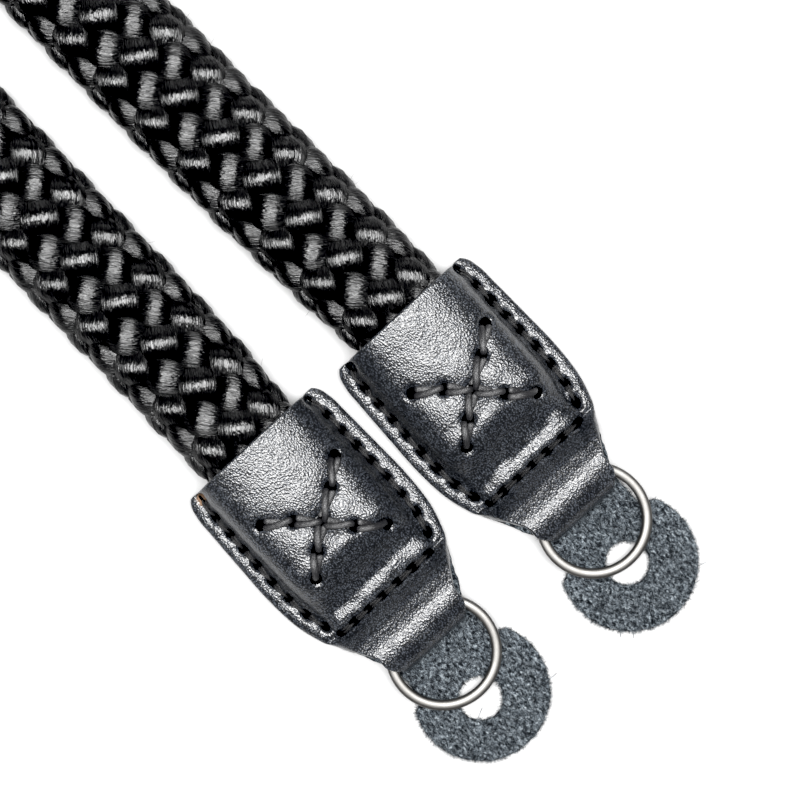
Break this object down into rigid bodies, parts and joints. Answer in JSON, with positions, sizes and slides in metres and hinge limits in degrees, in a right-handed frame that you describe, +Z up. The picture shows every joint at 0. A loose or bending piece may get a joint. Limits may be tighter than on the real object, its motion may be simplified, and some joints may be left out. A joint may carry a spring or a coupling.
{
  "type": "braided camera strap",
  "caption": "Flat-oval braided camera strap lying in a long loop, with sewn leather end tabs, split rings held in their folds and round leather protectors.",
  "frame": {"origin": "on the floor, midway between the two leather end tabs, at the middle of their length", "axes": "+Z up from the floor the strap lies on, -Y from the tabs' mouths towards their protectors, +X from the left tab to the right one"},
  "size_m": [0.0957, 0.4634, 0.01],
  "materials": {
    "braid": "satin braided filament yarn",
    "smooth_leather": "fine grain, satin",
    "suede_leather": "napped flesh side above, smooth grain below",
    "nickel": "satin nickel plated"
  },
  "bodies": {
    "strap": {"braided_cord": "braid", "left_front_tab": "smooth_leather", "left_back_tab": "suede_leather", "right_front_tab": "smooth_leather", "right_back_tab": "suede_leather"},
    "left_ring": {"left_split_ring": "nickel"},
    "right_ring": {"right_split_ring": "nickel"}
  },
  "joints": [
    {"name": "left_ring_turn", "type": "hinge", "parent": "strap", "child": "left_ring", "pos_m": [-0.0129, -0.00995, 0.00303], "axis": [0, -0.097, 0.9953], "continuous": true},
    {"name": "right_ring_turn", "type": "hinge", "parent": "strap", "child": "right_ring", "pos_m": [0.0132, -0.01065, 0.00303], "axis": [0, -0.097, 0.9953], "continuous": true}
  ]
}
